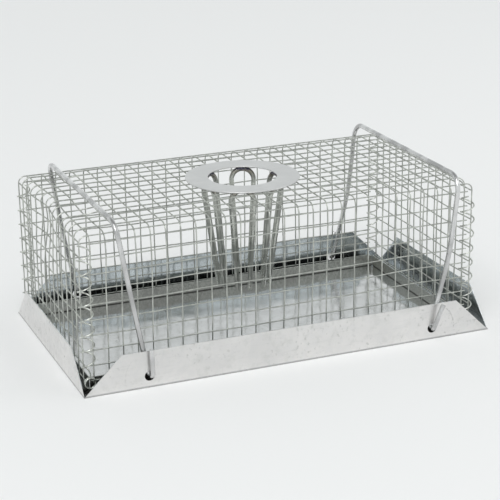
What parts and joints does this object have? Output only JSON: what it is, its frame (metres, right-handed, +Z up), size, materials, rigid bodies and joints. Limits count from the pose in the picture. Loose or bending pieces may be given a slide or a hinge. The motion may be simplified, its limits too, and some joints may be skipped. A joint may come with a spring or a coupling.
{
  "type": "live catch trap",
  "caption": "Wire mesh cage standing in a shallow sheet tray, with a round funnel entry on top and wire bails that hold it down.",
  "frame": {"origin": "centre of the tray's flat underside", "axes": "+Z up, +X along the tray's length to the right, +Y from the front flap to the back flap"},
  "size_m": [0.363, 0.2212, 0.1432],
  "materials": {
    "tray_sheet": "bright galvanised sheet with faint spangle and scuffs",
    "rim_sheet": "dull galvanised sheet",
    "ring_sheet": "satin plated sheet",
    "prong_wire": "plated heavy wire",
    "bail_wire": "satin galvanised wire",
    "lacing_wire": "dull galvanised wire",
    "mesh_wire": "dull galvanised welded mesh"
  },
  "bodies": {
    "tray": {"base_tray": "tray_sheet", "rim_strip_back": "rim_sheet", "rim_strip_front": "rim_sheet", "rim_strip_left": "rim_sheet", "rim_strip_right": "rim_sheet"},
    "cage": {"back_row_wires": "mesh_wire", "corner_lacing_back_left": "lacing_wire", "corner_lacing_back_right": "lacing_wire", "corner_lacing_front_left": "lacing_wire", "corner_lacing_front_right": "lacing_wire", "cross_hoops": "mesh_wire", "entry_ring": "ring_sheet", "front_row_wires": "mesh_wire", "funnel_prong_1": "prong_wire", "funnel_prong_2": "prong_wire", "funnel_prong_3": "prong_wire", "funnel_prong_4": "prong_wire", "funnel_prong_5": "prong_wire", "funnel_prong_6": "prong_wire", "left_row_wires": "mesh_wire", "long_wires": "mesh_wire", "right_row_wires": "mesh_wire"},
    "left_bail": {"left_bail": "bail_wire"},
    "right_bail": {"right_bail": "bail_wire"}
  },
  "joints": [
    {"name": "left_bail_swing", "type": "hinge", "parent": "tray", "child": "left_bail", "pos_m": [-0.1268, 0, 0.01], "axis": [0, -1, 0], "range_deg": [-19, 79]},
    {"name": "right_bail_swing", "type": "hinge", "parent": "tray", "child": "right_bail", "pos_m": [0.1268, 0, 0.01], "axis": [0, 1, 0], "range_deg": [-21, 78]},
    {"name": "cage_lift", "type": "slide", "parent": "tray", "child": "cage", "axis": [0, 0, 1], "range_m": [0, 0.0024]}
  ]
}
